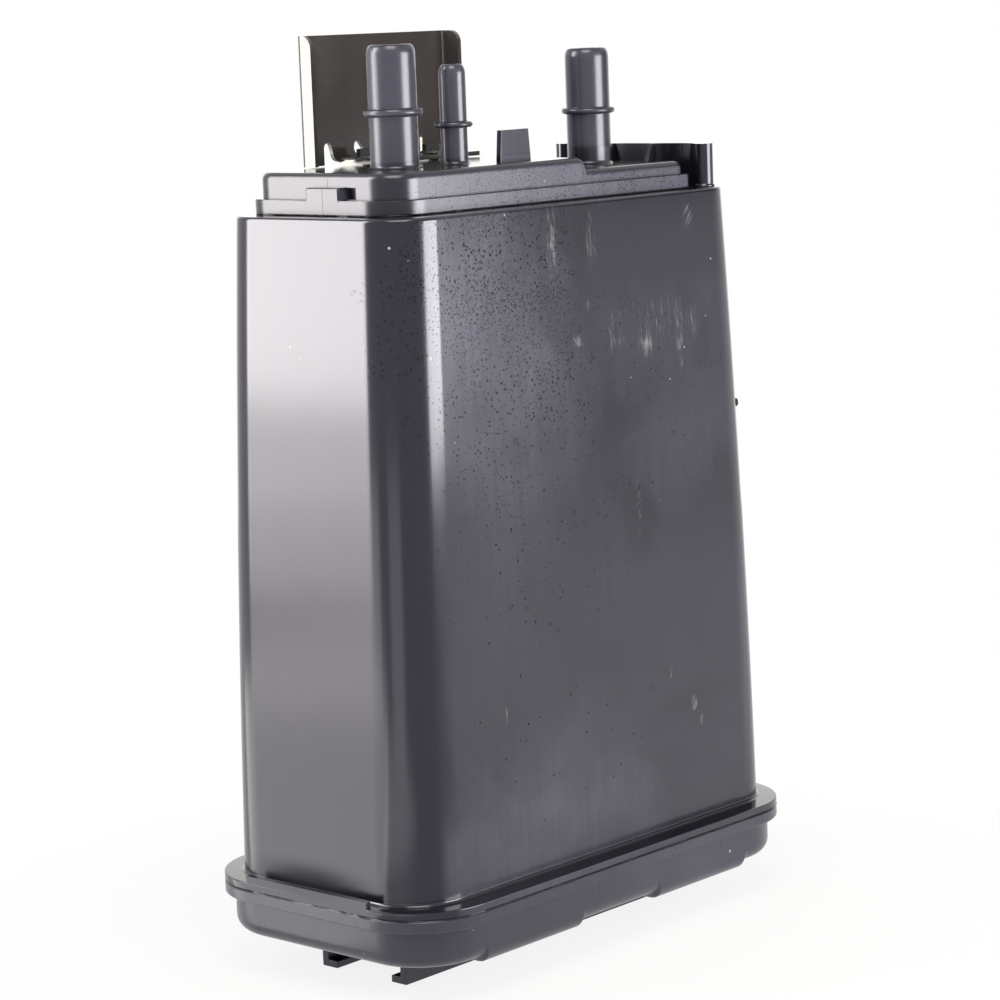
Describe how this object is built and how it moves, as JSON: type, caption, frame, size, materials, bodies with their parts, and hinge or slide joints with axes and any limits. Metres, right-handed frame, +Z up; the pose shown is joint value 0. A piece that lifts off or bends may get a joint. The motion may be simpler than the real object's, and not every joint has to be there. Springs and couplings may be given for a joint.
{
  "type": "fuel vapour charcoal canister",
  "caption": "Tapered black plastic can with bead-ended hose ports and a steel bracket on top; its carbon filling holds fuel vapour until the engine draws it off.",
  "frame": {"origin": "floor level under the middle of the flange, at the underside of the slide rails", "axes": "+Z up through the ports, +X along the wide faces towards the vent port, -Y out of the wide front face"},
  "size_m": [0.1986, 0.1068, 0.3056],
  "materials": {
    "moulded_nylon": "satin",
    "black_paint": "satin",
    "screw_steel": "gloss",
    "inner_nylon": "matte",
    "filter_foam": "open foam",
    "carbon_pellets": "matte",
    "spring_steel": "drawn wire"
  },
  "bodies": {
    "root": {"canister_body": "moulded_nylon", "bottom_cover": "moulded_nylon", "port_cover": "moulded_nylon", "mounting_bracket": "black_paint", "bracket_screw_left": "screw_steel", "bracket_screw_right": "screw_steel", "tank_filter": "filter_foam", "purge_filter": "filter_foam", "vent_filter": "filter_foam", "lower_tank_filter": "filter_foam", "lower_vent_filter": "filter_foam", "bed_divider": "filter_foam", "tank_carbon_bed": "carbon_pellets", "lower_vent_carbon_bed": "carbon_pellets", "upper_vent_carbon_bed": "carbon_pellets", "tank_pressure_plate": "inner_nylon", "vent_pressure_plate": "inner_nylon", "tank_spring_front": "spring_steel", "tank_spring_rear": "spring_steel", "vent_spring_front": "spring_steel", "vent_spring_rear": "spring_steel"}
  },
  "joints": []
}
